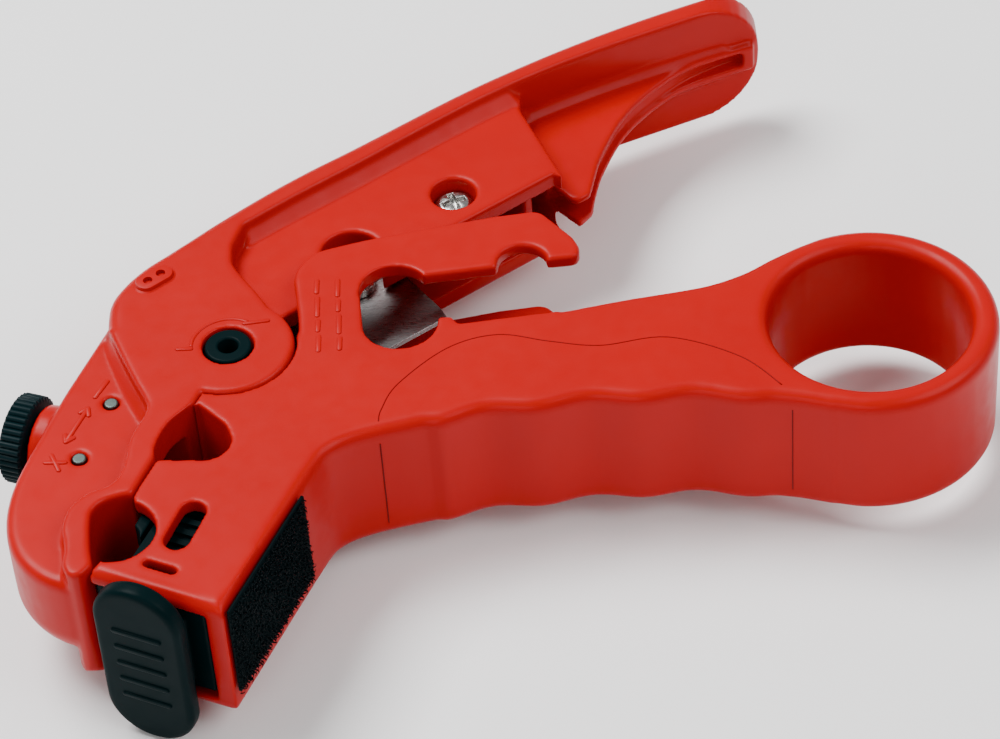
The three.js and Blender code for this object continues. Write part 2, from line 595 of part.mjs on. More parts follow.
function guidePin(place) {
  const end = FACE + 0.05;
  return slab(onKnob(circle(place, PIN_RADIUS)), -end, end, 0.12);
}

// ---- cassette ----
const TAB = [-4.4, -2]; // the pull tab's two faces, outward from the end face
const TAB_HALF_WIDTH = 5.5;
const TAB_HALF_HEIGHT = 12.2;
const TAB_CENTRE = -2.4; // across the cassette
const TAB_ROUND = 0.7;
const coaxBed = circle([-45.9, -20.2], 3.6);
const bladeHeights = [-2.6, 0, 2.6];

function pullTab() {
  const side = TAB_HALF_HEIGHT - TAB_HALF_WIDTH;
  const outline = [...arc([side, 0], TAB_HALF_WIDTH, -90, 90),
    ...arc([-side, 0], TAB_HALF_WIDTH, 90, 270)];
  const tab = extruded(outline, TAB[0], TAB[1], TAB_ROUND);
  // The outline's length turns upright and its thickness along the cassette.
  tab.applyMatrix4(new THREE.Matrix4().set(0, 0, 1, 0, 0, 1, 0, TAB_CENTRE, -1, 0, 0, 0,
    0, 0, 0, 1));
  tab.rotateZ(THREE.MathUtils.degToRad(CASSETTE_ANGLE));
  return solid(tab.translate(CASSETTE[0], CASSETTE[1], 0));
}

function cassetteFrame() {
  const half = CASSETTE_WIDTH / 2;
  const block = slab(onCassette(box2([0.2, CASSETTE_LENGTH], [-half, half])),
    -CASSETTE_HALF, CASSETTE_HALF, 0.2);
  const head = slab(onCassette(box2([0.2, HEAD_DEPTH], HEAD_SIDES)), -CASSETTE_HALF, CASSETTE_HALF,
    0.3);
  const neck = slab(onCassette(box2([TAB[1] - 0.4, 1], [TAB_CENTRE - 3.6, TAB_CENTRE + 3.6])),
    -5, 5);
  const pocket = onCassette(box2([4.6, 16.4], [-half + 1.6, half - 1.6]));
  const blades = bladeHeights.map((height) =>
    slab(onCassette(box2([5, 13], [-half + 1.6, half + 1])), height - 0.45, height + 0.45));
  return cut(joined([block, head, neck, pullTab()]), [
    slab(pocket, -4, CASSETTE_HALF + 1),
    ...blades,
    through(coaxBed),
  ]);
}

function cassetteCover() {
  const half = CASSETTE_WIDTH / 2;
  const plate = slab(onCassette(box2([4.9, 16.1], [-half + 1.9, half - 1.9])), 4.1,
    CASSETTE_HALF - 0.5);
  const ribs = Array.from({ length: 6 }, (_, i) => 5.6 + i * 1.6).map((start) =>
    slab(onCassette(box2([start, start + 0.8], [-2.6, 1.4])), 5, CASSETTE_HALF));
  return joined([plate, ...ribs]);
}

function cassetteBlade(height) {
  const half = CASSETTE_WIDTH / 2;
  const outline = onCassette([[5.3, half - 3.4], [12.7, half - 3.4], [12.7, half - 1.2],
    [9, half + 0.1], [5.3, half - 1.2]]);
  return slab(outline, height - 0.15, height + 0.15).subtract(through(circle([-45.9, -20.2], 3.3)));
}

// ---- rough pad on the end of the body ----
function braidPad() {
  const [corner, end] = bodySide;
  const angle = THREE.MathUtils.radToDeg(Math.atan2(end[1] - corner[1], end[0] - corner[0]));
  const face = along(corner, angle, box2([0.5, 19.5], [-GAP - PAD_THICK, -GAP]));
  return slab(face, ...PAD_HEIGHTS, 0.3);
}

node('main_body', mainBody(), red);
node('lever', lever(), red);
node('pivot_sleeve', pivotSleeve(), slate);
node('return_spring', returnSpring(), spring);
node('cutter_blade', cutterBlade(), steel);
node('blade_screw', screw(...onBlade([REAR_SCREW]), BLADE_HALF + 0.1, 2.6, -4.3), steel);
node('tie_screw', screw(...onBlade([FRONT_SCREW]), TIE_SEAT, 2.5, -4.3), steel);
node('adjuster_knob', adjusterKnob(), slate);
node('adjuster_screw', adjusterScrew(), steel);
node('retaining_clip', retainingClip(), steel);
node('blade_carrier', bladeCarrier(), red);
node('carrier_nut', carrierNut(), steel);
node('stripping_blade', strippingBlade(), steel);
pinPlaces.forEach((place, i) => node(`guide_pin_${i + 1}`, guidePin(place), steel));
node('cassette_frame', cassetteFrame(), slate);
node('cassette_cover', cassetteCover(), slate);
bladeHeights.forEach((height, i) =>
  node(`cassette_blade_${i + 1}`, cassetteBlade(height), steel));
node('braid_pad', braidPad(), hook);

// ---- stand the tool on z = 0, with the middle of its box over the origin ----
const extent = new THREE.Box3().setFromObject(group);
const middle = extent.getCenter(new THREE.Vector3());
group.position.set(-middle.x, -middle.y, -extent.min.z);

export default group;
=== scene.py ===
import json
import math
import random

import bmesh
import bpy
import numpy as np
from mathutils import Matrix, Vector


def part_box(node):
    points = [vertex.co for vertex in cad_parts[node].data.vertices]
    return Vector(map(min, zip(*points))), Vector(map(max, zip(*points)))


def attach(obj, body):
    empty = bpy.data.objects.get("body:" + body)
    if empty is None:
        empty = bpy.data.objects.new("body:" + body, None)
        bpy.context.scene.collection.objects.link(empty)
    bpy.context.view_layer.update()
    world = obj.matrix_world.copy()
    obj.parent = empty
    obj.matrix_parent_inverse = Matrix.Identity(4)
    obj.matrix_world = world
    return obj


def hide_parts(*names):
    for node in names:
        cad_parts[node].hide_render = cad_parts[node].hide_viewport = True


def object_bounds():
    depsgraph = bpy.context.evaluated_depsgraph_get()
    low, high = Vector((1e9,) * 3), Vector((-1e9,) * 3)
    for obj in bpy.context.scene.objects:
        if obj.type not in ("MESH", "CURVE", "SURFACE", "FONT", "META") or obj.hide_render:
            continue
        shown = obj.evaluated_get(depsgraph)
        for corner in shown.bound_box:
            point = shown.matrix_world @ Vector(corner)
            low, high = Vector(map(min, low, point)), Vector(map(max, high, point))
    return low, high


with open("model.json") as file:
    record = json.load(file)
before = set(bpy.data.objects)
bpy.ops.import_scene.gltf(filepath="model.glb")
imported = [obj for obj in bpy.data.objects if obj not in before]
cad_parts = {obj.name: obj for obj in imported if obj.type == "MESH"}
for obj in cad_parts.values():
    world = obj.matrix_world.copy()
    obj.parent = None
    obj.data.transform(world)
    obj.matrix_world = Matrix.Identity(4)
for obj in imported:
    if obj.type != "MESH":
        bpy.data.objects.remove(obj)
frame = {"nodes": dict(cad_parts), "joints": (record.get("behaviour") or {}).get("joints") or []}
cad_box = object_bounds()
MM = 0.001

# ---- plan coordinates: millimetres on the tool's mid-plane, tied to the lever's hinge ----
HINGE_PLAN = (-31.9, 7.8)
KNOB_ANGLE = -22.3  # degrees, from the knob into the jaw
BLADE_ANGLE = 32.9
CASSETTE_ANGLE = 63.3
PAD_ANGLE = 63.17
hinge = next(j for j in frame["joints"] if j["name"] == "lever_squeeze")["pos_m"]
ORIGIN = Vector((hinge[0] - HINGE_PLAN[0] * MM, hinge[1] - HINGE_PLAN[1] * MM, hinge[2]))
HALF = 8.9  # height of the halves' flat faces over the mid-plane
FACE = 6.4  # height of the lever's lower face, around the guide pins


def at(x, y, z=0.0):
    """A plan point in millimetres as a place in the frame."""
    return ORIGIN + Vector((x, y, z)) * MM


def along(start, degrees, a, b):
    """The plan point a along and b across a direction."""
    c, s = math.cos(math.radians(degrees)), math.sin(math.radians(degrees))
    return start[0] + a * c - b * s, start[1] + a * s + b * c


# ---- camera: the photograph's viewing angle ----
LENS = 137.04  # mm, with the sensor's width
SENSOR = 36
LOOK_DOWN = 44.551  # degrees
ROLL = -4.5517
CAMERA_PLAN = (0, -317.26, 321.23)

camera_data = bpy.data.cameras.new("camera")
camera_data.lens = LENS
camera_data.sensor_width = SENSOR
camera_data.clip_start = 0.01
camera_data.clip_end = 20
camera = bpy.data.objects.new("camera", camera_data)
bpy.context.scene.collection.objects.link(camera)
elevation, roll = math.radians(LOOK_DOWN), math.radians(ROLL)
right = Vector((1, 0, 0))
forward = Vector((0, math.cos(elevation), -math.sin(elevation)))
down = Vector((0, -math.sin(elevation), -math.cos(elevation)))
cam_x = math.cos(roll) * right - math.sin(roll) * down
cam_down = math.sin(roll) * right + math.cos(roll) * down
camera.matrix_world = Matrix.Translation(at(*CAMERA_PLAN)) @ Matrix(
    (cam_x, -cam_down, -forward)
).transposed().to_4x4()
bpy.context.scene.camera = camera


# ---- materials ----
def new_material(name):
    material = bpy.data.materials.new(name)
    material.use_nodes = True
    tree = material.node_tree
    shader = tree.nodes["Principled BSDF"]
    return material, tree, shader


def noise(tree, scale, detail=4.0, rough=0.55, stretch=None):
    """Noise fixed to the object; stretch is an angle in degrees and a scale for each axis."""
    texture = tree.nodes.new("ShaderNodeTexNoise")
    texture.inputs["Scale"].default_value = scale
    texture.inputs["Detail"].default_value = detail
    texture.inputs["Roughness"].default_value = rough
    place = tree.nodes.new("ShaderNodeTexCoord")
    source = place.outputs["Object"]
    if stretch:
        mapping = tree.nodes.new("ShaderNodeMapping")
        mapping.inputs["Rotation"].default_value = (0, 0, math.radians(stretch[0]))
        mapping.inputs["Scale"].default_value = stretch[1]
        tree.links.new(source, mapping.inputs["Vector"])
        source = mapping.outputs["Vector"]
    tree.links.new(source, texture.inputs["Vector"])
    return texture


def ranged(tree, source, low, high):
    """The middle of a noise's range, spread from low to high."""
    node = tree.nodes.new("ShaderNodeMapRange")
    node.inputs["From Min"].default_value = 0.3
    node.inputs["From Max"].default_value = 0.7
    node.inputs["To Min"].default_value = low
    node.inputs["To Max"].default_value = high
    tree.links.new(source, node.inputs["Value"])
    return node.outputs["Result"]


def mixed(tree, factor, first, second):
    node = tree.nodes.new("ShaderNodeMix")
    node.data_type = "RGBA"
    node.inputs["A"].default_value = (*first, 1)
    node.inputs["B"].default_value = (*second, 1)
    tree.links.new(factor, node.inputs["Factor"])
    return node.outputs["Result"]


def bumped(tree, shader, layers):
    """Bump layers of (height socket, distance in metres, strength), the finest last."""
    previous = None
    for height, distance, strength in layers:
        node = tree.nodes.new("ShaderNodeBump")
        node.inputs["Distance"].default_value = distance
        node.inputs["Strength"].default_value = strength
        tree.links.new(height, node.inputs["Height"])
        if previous:
            tree.links.new(previous, node.inputs["Normal"])
        previous = node.outputs["Normal"]
    tree.links.new(previous, shader.inputs["Normal"])


def plastic(name, light, dark, rough, grain, specular, wave=0.00004):
    """A moulding: two close colours, uneven gloss, and bumps of grain and wave metres."""
    material, tree, shader = new_material(name)
    broad = noise(tree, 60, 3)
    fine = noise(tree, 2600, 3)
    middle = noise(tree, 420, 4)
    tree.links.new(mixed(tree, ranged(tree, broad.outputs["Fac"], 0, 1), light, dark),
                   shader.inputs["Base Color"])
    tree.links.new(ranged(tree, middle.outputs["Fac"], *rough), shader.inputs["Roughness"])
    shader.inputs["Specular IOR Level"].default_value = specular
    bumped(tree, shader, [(broad.outputs["Fac"], wave, 0.5), (fine.outputs["Fac"], grain, 0.6)])
    return material


def metal(name, colour, rough, angle, stretch=(1, 14, 1)):
    """A metal with grinding lines that run at an angle in degrees."""
    material, tree, shader = new_material(name)
    lines = noise(tree, 900, 5, 0.7, (angle, stretch))
    spots = noise(tree, 260, 4)
    tree.links.new(
        mixed(tree, ranged(tree, spots.outputs["Fac"], 0, 1), colour, [0.8 * c for c in colour]),
        shader.inputs["Base Color"])
    tree.links.new(ranged(tree, lines.outputs["Fac"], *rough), shader.inputs["Roughness"])
    shader.inputs["Metallic"].default_value = 1.0
    bumped(tree, shader, [(lines.outputs["Fac"], 0.000012, 0.7)])
    return material


RED = plastic("red_moulded", (0.42, 0.0012, 0.002), (0.39, 0.001, 0.0017), (0.3, 0.4), 0.0000015,
              specular=0.12, wave=0.00002)
# painted shade: a much darker red that stands in for the shade along the grip's fine insert line and
# side seam lines
RED_SHADE_LINE = plastic("red_shade_line", (0.14, 0.0008, 0.0012), (0.11, 0.0006, 0.001), (0.4, 0.5), 0.000002,
                   specular=0.1)
SLATE = plastic("slate_moulded", (0.0012, 0.0085, 0.0098), (0.0009, 0.007, 0.008), (0.34, 0.46),
                0.000006, specular=0.03)
KNOB = plastic("knob_moulded", (0.0012, 0.011, 0.0135), (0.0009, 0.009, 0.011), (0.36, 0.5),
               0.000006, specular=0.06)
HOOK = plastic("hook_fibre", (0.0006, 0.005, 0.0062), (0.0003, 0.003, 0.004), (0.45, 0.62),
               0.00001, specular=0.04)
BLADE = metal("ground_blade", (0.34, 0.33, 0.33), (0.2, 0.42), -BLADE_ANGLE)
PLATED = metal("plated_screw", (0.58, 0.58, 0.56), (0.14, 0.34), 20, stretch=(1, 3, 1))
PINS = metal("pin_steel", (0.1, 0.13, 0.12), (0.35, 0.55), 50, stretch=(1, 3, 1))
WIRE = metal("spring_wire", (0.35, 0.35, 0.36), (0.25, 0.45), 0)


# ---- mesh helpers ----
def new_piece(name, mesh, material, body, *nodes):
    """A visible piece that moves with a body, in place of the CAD nodes named."""
    piece = bpy.data.objects.new(name, mesh)
    bpy.context.scene.collection.objects.link(piece)
    mesh.materials.clear()
    mesh.materials.append(material)
    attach(piece, body)
    if nodes:
        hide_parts(*nodes)
    return piece


def node_arrays(node):
    """A CAD node's welded corners and triangles."""
    work = bmesh.new()
    work.from_mesh(frame["nodes"][node].data)
    bmesh.ops.remove_doubles(work, verts=work.verts, dist=2e-7)
    bmesh.ops.triangulate(work, faces=work.faces)
    verts = np.array([v.co for v in work.verts])
    faces = np.array([[v.index for v in f.verts] for f in work.faces])
    work.free()
    return verts, faces


def corner_normals(verts, faces, crease):
    """Each triangle corner's normal, shared across edges flatter than crease, with the larger
    of two flat regions keeping its own."""
    edges = verts[faces[:, 1]] - verts[faces[:, 0]], verts[faces[:, 2]] - verts[faces[:, 0]]
    normals = np.cross(*edges)
    size = np.linalg.norm(normals, axis=1)
    keep = size > 1e-14
    faces, normals, size = faces[keep], normals[keep] / size[keep, None], size[keep] / 2
    offset = (normals * verts[faces[:, 0]]).sum(1)
    keys = np.round(np.c_[normals * 200, offset * 2e4]).astype(int)
    _, group = np.unique(keys, axis=0, return_inverse=True)
    area = np.bincount(group.ravel(), size)[group.ravel()]
    order = np.argsort(faces.ravel(), kind="stable")
    ends = np.searchsorted(faces.ravel()[order], np.arange(len(verts) + 1))
    out = np.zeros((faces.size, 3))
    for vertex in range(len(verts)):
        corners = order[ends[vertex]:ends[vertex + 1]]
        own = corners // 3
        close = normals[own] @ normals[own].T > math.cos(crease)
        out[corners] = close @ (normals[own] * (area[own] ** 2)[:, None])
    out /= np.maximum(np.linalg.norm(out, axis=1), 1e-20)[:, None]
    return faces, out.reshape(-1, 3, 3)


def curved(verts, faces, crease=math.radians(33), steps=4):
    """Triangles bent to their corners' normals, so that arcs drawn with few sides come out round."""
    faces, normals = corner_normals(verts, faces, crease)
    corners = verts[faces]

    def pull(i, j):
        p, q, n = corners[:, i], corners[:, j], normals[:, i]
        return (2 * p + q - ((q - p) * n).sum(1)[:, None] * n) / 3

    control = {(i, j): pull(i, j) for i in range(3) for j in range(3) if i != j}
    centre = sum(control.values()) / 4 - corners.sum(1) / 6
    grid = [(i / steps, j / steps) for i in range(steps + 1) for j in range(steps + 1 - i)]
    index = {(round(u * steps), round(v * steps)): n for n, (u, v) in enumerate(grid)}
    points = []
    for u, v in grid:
        w = (1 - u - v, u, v)
        point = sum(w[i] ** 3 * corners[:, i] for i in range(3))
        point = point + sum(3 * w[i] ** 2 * w[j] * c for (i, j), c in control.items())
        points.append(point + 6 * w[0] * w[1] * w[2] * centre)
    tris = []
    for i in range(steps):
        for j in range(steps - i):
            tris.append((index[i, j], index[i + 1, j], index[i, j + 1]))
            if i + j < steps - 1:
                tris.append((index[i + 1, j], index[i + 1, j + 1], index[i, j + 1]))
    points = np.stack(points, 1)
    base = np.arange(len(faces))[:, None, None] * len(grid)
    return points.reshape(-1, 3), (base + np.array(tris)[None]).reshape(-1, 3)


def finished(work, name):
    """Turns worked faces outward and hands them over as a mesh."""
    bmesh.ops.recalc_face_normals(work, faces=work.faces)
    mesh = bpy.data.meshes.new(name)
    work.to_mesh(mesh)
    work.free()
    return mesh


def skin(work, rings):
    """Faces from ring to ring, with the first and last ring closed."""
    for lower, upper in zip(rings, rings[1:]):
        for k in range(len(lower)):
            n = (k + 1) % len(lower)
            work.faces.new((lower[k], lower[n], upper[n], upper[k]))
    work.faces.new(rings[-1])
    work.faces.new(list(reversed(rings[0])))


def mesh_from(name, verts, faces, weld=2e-6):
    mesh = bpy.data.meshes.new(name)
    mesh.from_pydata(verts.tolist(), [], faces.tolist())
    if weld:
        work = bmesh.new()
        work.from_mesh(mesh)
        bmesh.ops.remove_doubles(work, verts=work.verts, dist=weld)
        work.to_mesh(mesh)
        work.free()
    return mesh


def applied(piece):
    """Replaces a piece's mesh with what its modifiers make of it."""
    depsgraph = bpy.context.evaluated_depsgraph_get()
    mesh = bpy.data.meshes.new_from_object(piece.evaluated_get(depsgraph))
    mesh.name = piece.name
    old = piece.data
    piece.modifiers.clear()
    piece.data = mesh
    bpy.data.meshes.remove(old)
    return mesh


def moulded(name, node, body, material, voxel=0.3, passes=4, most=190000):
    """A CAD solid with the soft edges and root fillets of a moulding."""
    mesh = mesh_from(name, *curved(*node_arrays(node)))
    piece = new_piece(name, mesh, material, body, node)
    remesh = piece.modifiers.new("remesh", "REMESH")
    remesh.mode = "VOXEL"
    remesh.voxel_size = voxel * MM
    smooth = piece.modifiers.new("smooth", "SMOOTH")
    smooth.factor = 0.5
    smooth.iterations = passes
    mesh = applied(piece)
    triangles = 2 * len(mesh.polygons)
    if triangles > most:
        thin = piece.modifiers.new("thin", "DECIMATE")
        thin.ratio = most / triangles
        mesh = applied(piece)
    mesh.shade_smooth()


def bevelled(name, node, body, material, width=0.12):
    """A CAD solid with fine bevels on its crisp edges."""
    verts, faces = node_arrays(node)
    piece = new_piece(name, mesh_from(name, verts, faces, 0), material, body, node)
    work = bmesh.new()
    work.from_mesh(piece.data)
    bmesh.ops.dissolve_limit(work, angle_limit=math.radians(1), verts=work.verts,
                             edges=work.edges)
    work.to_mesh(piece.data)
    work.free()
    bevel = piece.modifiers.new("bevel", "BEVEL")
    bevel.width = width * MM
    bevel.segments = 2
    bevel.limit_method = "ANGLE"
    bevel.angle_limit = math.radians(30)
    piece.data.shade_smooth()
    weighted = piece.modifiers.new("weighted", "WEIGHTED_NORMAL")
    weighted.keep_sharp = True
    applied(piece)


# ---- moulded halves ----
moulded("grip_moulding", "main_body", "grip_half", RED)
moulded("lever_moulding", "lever", "lever_half", RED)
moulded("carrier_moulding", "blade_carrier", "blade_slide", RED, voxel=0.15)
moulded("cassette_moulding", "cassette_frame", "cassette", SLATE, voxel=0.2, passes=3)

# ---- turned and cut pieces ----
bevelled("sleeve", "pivot_sleeve", "grip_half", SLATE)
bevelled("rear_screw", "blade_screw", "lever_half", PLATED, 0.08)
bevelled("front_screw", "tie_screw", "lever_half", PLATED, 0.08)
bevelled("blade", "cutter_blade", "lever_half", BLADE, 0.04)
for number in (1, 2):
    bevelled(f"pin_{number}", f"guide_pin_{number}", "lever_half", PINS, 0.1)
bevelled("window_cover", "cassette_cover", "cassette", SLATE, 0.08)

for node, material in {
    "return_spring": WIRE, "adjuster_screw": PLATED, "retaining_clip": WIRE,
    "carrier_nut": PLATED, "stripping_blade": BLADE, "cassette_blade_1": BLADE,
    "cassette_blade_2": BLADE, "cassette_blade_3": BLADE,
}.items():
    cad = frame["nodes"][node]
    for slot in cad.material_slots:
        slot.material = material


# ---- hook pad: a backing with rows of small hooks ----
PAD_BACKING = 0.35  # thickness
HOOK_PITCH = 0.42
HOOK_HEIGHT = (0.28, 0.42)
HOOK_RADIUS = (0.09, 0.13)
HOOK_CURL = 2.3  # radians, from the root to the tip
HOOK_TAPER = 0.55


def hook_pad():
    low, high = (Vector(corner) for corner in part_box("braid_pad"))
    verts, faces = node_arrays("braid_pad")
    side = math.radians(PAD_ANGLE)
    run = Vector((math.cos(side), math.sin(side), 0))
    out = Vector((run.y, -run.x, 0))
    depth = verts @ np.array(out)
    ahead = verts @ np.array(run)
    floor_at = depth.min() + PAD_BACKING * MM
    random.seed(7)
    work = bmesh.new()

    def point(a, z, d):
        return run * a + out * d + Vector((0, 0, z))

    # backing
    a0, a1, z0, z1 = ahead.min(), ahead.max(), low.z, high.z
    corners = ((a0, z1, 46), (a1, z1, 32), (a1, z0, 46), (a0, z0, 32))  # with the steps to the next
    outline = []
    for (a, z, steps), (next_a, next_z, _) in zip(corners, corners[1:] + corners[:1]):
        outline += [(a + (next_a - a) * i / steps, z + (next_z - z) * i / steps)
                    for i in range(steps)]
    skin(work, [[
        work.verts.new(point(a + random.uniform(-1, 1) * 0.03 * MM,
                             z + random.uniform(0, 1) * (0.22 if z == z0 else 0.05) * MM, d))
        for a, z in outline] for d in (depth.min(), floor_at)])

    # a hook: a bent tapering stalk
    def hook(a, z, height, lean, radius):
        sides, bends = 5, 5
        rings = []
        for k in range(bends + 1):
            t = k / bends
            bend = t * HOOK_CURL
            d = floor_at - 0.05 * MM + height * math.sin(bend)
            shift = height * 0.75 * (1 - math.cos(bend))
            r = radius * (1 - HOOK_TAPER * t)
            centre = (a + math.cos(lean) * shift, z + math.sin(lean) * shift, d)
            rings.append([
                work.verts.new(point(
                    centre[0] + r * math.cos(math.tau * s / sides),
                    centre[1] + r * math.sin(math.tau * s / sides),
                    centre[2] + r * 0.6 * math.cos(math.tau * s / sides) * math.cos(bend)))
                for s in range(sides)])
        skin(work, rings)

    pitch = HOOK_PITCH * MM
    rows = int((z1 - z0) / pitch)
    columns = int((a1 - a0) / pitch)
    for i in range(columns + 1):
        for j in range(rows + 1):
            a = a0 + (i + 0.5 * (j % 2) + random.uniform(-0.3, 0.3)) * pitch
            z = z0 + (j + random.uniform(-0.3, 0.3)) * pitch
            if a > a1 - 0.1 * MM or z > z1 - 0.25 * MM:
                continue
            hook(a, z, random.uniform(*HOOK_HEIGHT) * MM, random.uniform(0, math.tau),
                 random.uniform(*HOOK_RADIUS) * MM)
    mesh = finished(work, "hook_pad")
    mesh.shade_smooth()
    piece = new_piece("hook_pad", mesh, HOOK, "grip_half", "braid_pad")


hook_pad()


# ---- adjuster knob: a disc with fine ridges and a coin slot ----
def subtracted(piece, *cutters):
    """Cuts a piece with temporary bodies, which are then removed."""
    for cutter in cutters:
        change = piece.modifiers.new("cut", "BOOLEAN")
        change.operation = "DIFFERENCE"
        change.solver = "EXACT"
        change.object = cutter
        applied(piece)
        mesh = cutter.data
        bpy.data.objects.remove(cutter)
        bpy.data.meshes.remove(mesh)


def prism(name, outline, low, high, place):
    """A temporary body: a polygon in two coordinates drawn from low to high in the third."""
    work = bmesh.new()
    rings = [[work.verts.new(place(x, y, level)) for x, y in outline] for level in (low, high)]
    skin(work, rings)
    body = bpy.data.objects.new(name, finished(work, name))
    bpy.context.scene.collection.objects.link(body)
    return body


def round_outline(radius, sides=32, centre=(0, 0)):
    """A circle's corners."""
    return [(centre[0] + radius * math.cos(math.tau * k / sides),
             centre[1] + radius * math.sin(math.tau * k / sides)) for k in range(sides)]


KNOB_PLAN = (-56.8, 3.6)
KNOB_RIDGES = 40
RIDGE_DEPTH = 0.17


def on_knob_axis(x, y, h):
    """A point x across and y up from the knob's axis, h along it, in millimetres."""
    plan = along(KNOB_PLAN, KNOB_ANGLE, h, x)
    return at(plan[0], plan[1], y)


def knob():
    work = bmesh.new()
    # along the axis, radius, and how much of the ridges' depth shows there
    profile = ((-1.5, 4.7, 0), (-1.46, 4.95, 0.1), (-1.36, 5.15, 0.5), (-1.2, 5.3, 1), (0, 5.32, 1),
               (1.2, 5.3, 1), (1.36, 5.15, 0.5), (1.46, 4.95, 0.1), (1.5, 4.7, 0))
    samples = KNOB_RIDGES * 8
    rings = []
    for h, radius, depth in profile:
        ring = []
        for k in range(samples):
            angle = math.tau * k / samples
            wave = abs(math.cos(angle * KNOB_RIDGES / 2)) ** 0.7
            r = radius + depth * RIDGE_DEPTH * (2 * wave - 1)
            ring.append(work.verts.new(on_knob_axis(r * math.cos(angle), r * math.sin(angle), h)))
        rings.append(ring)
    skin(work, rings)
    piece = new_piece("knob", finished(work, "knob"), KNOB, "adjuster", "adjuster_knob")
    slot = [(-3.2, -0.5), (3.2, -0.5), (3.2, 0.5), (-3.2, 0.5)]
    subtracted(piece,
               prism("bore", round_outline(1.6), -0.3, 3, on_knob_axis),
               prism("dish", round_outline(3.9), -2.5, -1.3, on_knob_axis),
               prism("slot", slot, -3, -0.85, on_knob_axis))
    piece.data.shade_smooth()
    piece.data.set_sharp_from_angle(angle=math.radians(35))


knob()


# ---- marks raised on a flat face: rounded bars, beads along a line, and a boss ----
def bar(work, start, end, width, low, high, normal):
    """A bar with round ends between two places, standing from low to high along the normal."""
    run = (end - start).normalized()
    side = normal.cross(run)
    half = 7  # corners round each end
    soft = min(0.16 * MM, (high - max(low, 0)) * 0.8)
    rings = []
    for level, inset in ((low, 0), (high - soft, 0), (high - 0.3 * soft, 0.3 * soft), (high, soft)):
        radius = width / 2 - inset
        ring = []
        for k in range(2 * half):
            angle = math.pi * (k if k < half else k - 1) / (half - 1)
            centre = end if k < half else start
            offset = side * math.cos(angle) * radius + run * math.sin(angle) * radius
            ring.append(work.verts.new(centre + offset + normal * level))
        rings.append(ring)
    skin(work, rings)


def marks(name, body, material, lines, width, height, normal=Vector((0, 0, 1))):
    """Raised bars, each sunk a little into the face it stands on."""
    work = bmesh.new()
    for number, (start, end) in enumerate(lines):
        # bars that meet stand at slightly different heights, so that no two tops share a plane
        bar(work, start, end, width * MM, -0.25 * MM, (height + 0.006 * (number % 5)) * MM, normal)
    mesh = finished(work, name)
    mesh.shade_smooth()
    mesh.set_sharp_from_angle(angle=math.radians(50))
    new_piece(name, mesh, material, body)


def bead(name, body, material, points, z, width, height):
    """A fine raised line through plan points on a level face."""
    sections = 5
    work = bmesh.new()
    rings = []
    for k, (x, y) in enumerate(points):
        before, after = points[max(k - 1, 0)], points[min(k + 1, len(points) - 1)]
        run = Vector((after[0] - before[0], after[1] - before[1], 0)).normalized()
        side = Vector((-run.y, run.x, 0))
        ring = [work.verts.new(at(x, y, z - 0.15) + side * s * width / 2 * MM) for s in (-1, 1)]
        for s in range(sections):
            angle = math.pi * s / (sections - 1)
            offset = side * math.cos(angle) * width / 2 * MM
            ring.append(work.verts.new(
                at(x, y, z - 0.02) + offset + Vector((0, 0, math.sin(angle) * height * MM))))
        rings.append(ring)
    skin(work, rings)
    mesh = finished(work, name)
    mesh.shade_smooth()
    new_piece(name, mesh, material, body)


def smooth_line(points, per=8):
    """A free curve through plan points (Catmull-Rom), with some steps between each two."""
    out = []
    for k in range(len(points) - 1):
        p = [np.array(points[min(max(k + i, 0), len(points) - 1)], float) for i in (-1, 0, 1, 2)]
        for step in range(per):
            t = step / per
            out.append(tuple(0.5 * (2 * p[1] + (p[2] - p[0]) * t
                                    + (2 * p[0] - 5 * p[1] + 4 * p[2] - p[3]) * t * t
                                    + (3 * p[1] - p[0] - 3 * p[2] + p[3]) * t ** 3)))
    return out + [tuple(points[-1])]


def plan_lines(z, *lines):
    """Lines between plan points, at one height."""
    return [(at(*start, z), at(*end, z)) for start, end in lines]


# minus and plus, with a double arrow between, beside the guide pins
marks("depth_marks", "lever_half", RED, plan_lines(
    FACE,
    ((-46.5, 5.75), (-47.9, 3.3)),
    ((-48.7, 1.5), (-51.2, -3.8)), ((-48.7, 1.5), (-49.6, 0.9)), ((-48.7, 1.5), (-48.6, 0.3)),
    ((-51.2, -3.8), (-50.3, -3.2)), ((-51.2, -3.8), (-51.3, -2.6)),
    ((-53.5, -6.9), (-51.2, -7.1)), ((-52.8, -5.8), (-51.9, -8.3))), 0.6, 0.16)

# the turning range around the pivot
PIVOT_ARC_RADIUS = 4.4
pivot_arc = [along(HINGE_PLAN, a, PIVOT_ARC_RADIUS, 0) for a in range(180, 50, -6)]
bead("pivot_arc", "lever_half", RED, pivot_arc, HALF, 0.5, 0.16)
marks("pivot_ticks", "lever_half", RED, plan_lines(
    HALF, ((-37.9, 7.7), (-36.3, 7.6)), ((-29.9, 11.2), (-27.1, 11.4))), 0.55, 0.15)

# the line where the grip's soft insert meets the body
SEAM_REACH = 6.6
# drawn in painted shade, a darker red that stands in for the shade of the line's fine groove
bead("insert_line", "grip_half", RED_SHADE_LINE, smooth_line([
    (-14.5, -6.9), (-14.1, -5), (-12, -1), (-6, 4.3), (0, 5.9), (6, 4.1), (12, 2.7), (20, 3.2),
    (28, -0.9), (32.4, -6.2)]), HALF, 0.15, 0.07)
# the side seam lines are painted shade too, in the same darker red
for x, y, lean in ((-14.5, -8.45, 15.4), (33.4, -8.25, -12.6)):
    marks(f"side_seam_{abs(x):.0f}", "grip_half", RED_SHADE_LINE,
          [(at(x, y, -SEAM_REACH), at(x, y, SEAM_REACH))], 0.14, 0.05,
          Vector((*along((0, 0), lean, 0, -1), 0)))

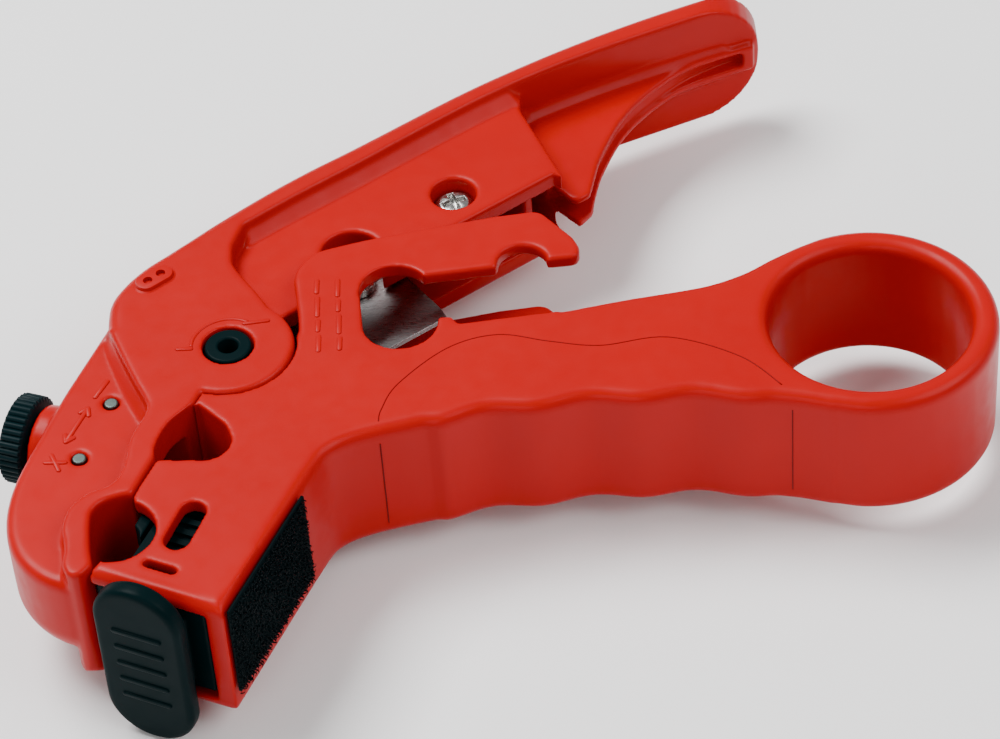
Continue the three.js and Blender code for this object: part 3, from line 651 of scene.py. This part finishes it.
# plain bars on the guard
guard_bars = []
for column, lengths in ((-21.2, (2.4, 1.6, 3.0, 2.0)), (-18.7, (1.8, 2.8, 1.6, 2.6))):
    start = 5.6
    for length in lengths:
        guard_bars.append(((column, start), (column + 0.1, start + length)))
        start += length + 1.0
marks("guard_bars", "grip_half", RED, plan_lines(HALF, *guard_bars), 0.62, 0.12)

# ribs across the pull tab
TAB_FACE = (-42.9, -29.05)  # a point of the cassette's end face
TAB_REACH = 4.4  # from there to the pull tab's outer face
tab_out = Vector((*along((0, 0), CASSETTE_ANGLE, -1, 0), 0))
tab_ribs = []
for level in (-5.4, -2.7, 0, 2.7, 5.4):
    ends = [along(TAB_FACE, CASSETTE_ANGLE, -TAB_REACH, across) for across in (-5.2, 0.4)]
    tab_ribs.append(tuple(at(*end, level) for end in ends))
marks("tab_ribs", "cassette", SLATE, tab_ribs, 0.7, 0.2, tab_out)


# a small boss with two holes
def boss():
    centre, turn, half_length, radius = (-40.7, 20.1), 36, 1.15, 1.35

    def on_boss(x, y, z):
        return at(*along(centre, turn, x, y), z)

    work = bmesh.new()
    rings = []
    # each ring's height, and how far it stands inside the outline
    for z, inset in ((HALF - 0.3, -0.35), (HALF, -0.3), (HALF + 0.12, -0.06), (HALF + 0.4, 0.02),
                     (HALF + 0.52, 0.08), (HALF + 0.55, 0.2)):
        ring = []
        for k in range(40):
            angle = math.tau * (k + 0.5) / 40
            x = (radius - inset) * math.cos(angle) + math.copysign(half_length, math.cos(angle))
            ring.append(work.verts.new(on_boss(x, (radius - inset) * math.sin(angle), z)))
        rings.append(ring)
    skin(work, rings)
    piece = new_piece("boss", finished(work, "boss"), RED, "lever_half")
    subtracted(piece, *[
        prism(f"hole_{k}", round_outline(0.58, 24, (x, 0)), HALF + 0.05, HALF + 2, on_boss)
        for k, x in enumerate((-0.95, 0.95))])
    piece.data.shade_smooth()
    piece.data.set_sharp_from_angle(angle=math.radians(40))


boss()


# ---- floor and light, in metres and watts ----
def soft_stage():
    material, tree, shader = new_material("paper_floor")
    speck = noise(tree, 30, 3)
    tree.links.new(mixed(tree, ranged(tree, speck.outputs["Fac"], 0, 1), (0.97,) * 3, (0.95,) * 3),
                   shader.inputs["Base Color"])
    shader.inputs["Roughness"].default_value = 0.9
    mesh = bpy.data.meshes.new("floor")
    reach = 3.0
    mesh.from_pydata([(-reach, -reach, 0), (reach, -reach, 0), (reach, reach, 0),
                      (-reach, reach, 0)], [], [(0, 1, 2, 3)])
    mesh.materials.append(material)
    floor = bpy.data.objects.new("floor", mesh)
    bpy.context.scene.collection.objects.link(floor)
    floor.location.z = cad_box[0][2] - 0.0002

    world = bpy.data.worlds.new("studio")
    world.use_nodes = True
    world.node_tree.nodes["Background"].inputs["Color"].default_value = (1, 1, 1, 1)
    world.node_tree.nodes["Background"].inputs["Strength"].default_value = 0.34
    bpy.context.scene.world = world

    def area(name, place, size, power):
        data = bpy.data.lights.new(name, "AREA")
        data.shape = "RECTANGLE"
        data.size, data.size_y = size
        data.energy = power
        lamp = bpy.data.objects.new(name, data)
        lamp.location = place
        lamp.rotation_euler = (-Vector(place)).to_track_quat("-Z", "Y").to_euler()
        bpy.context.scene.collection.objects.link(lamp)

    area("key", (-0.35, 0.25, 0.75), (0.5, 0.4), 12)
    area("fill", (0.6, -0.2, 0.7), (0.6, 0.5), 4.5)
    area("front", (-0.3, -0.8, 0.5), (0.6, 0.4), 1.8)


soft_stage()
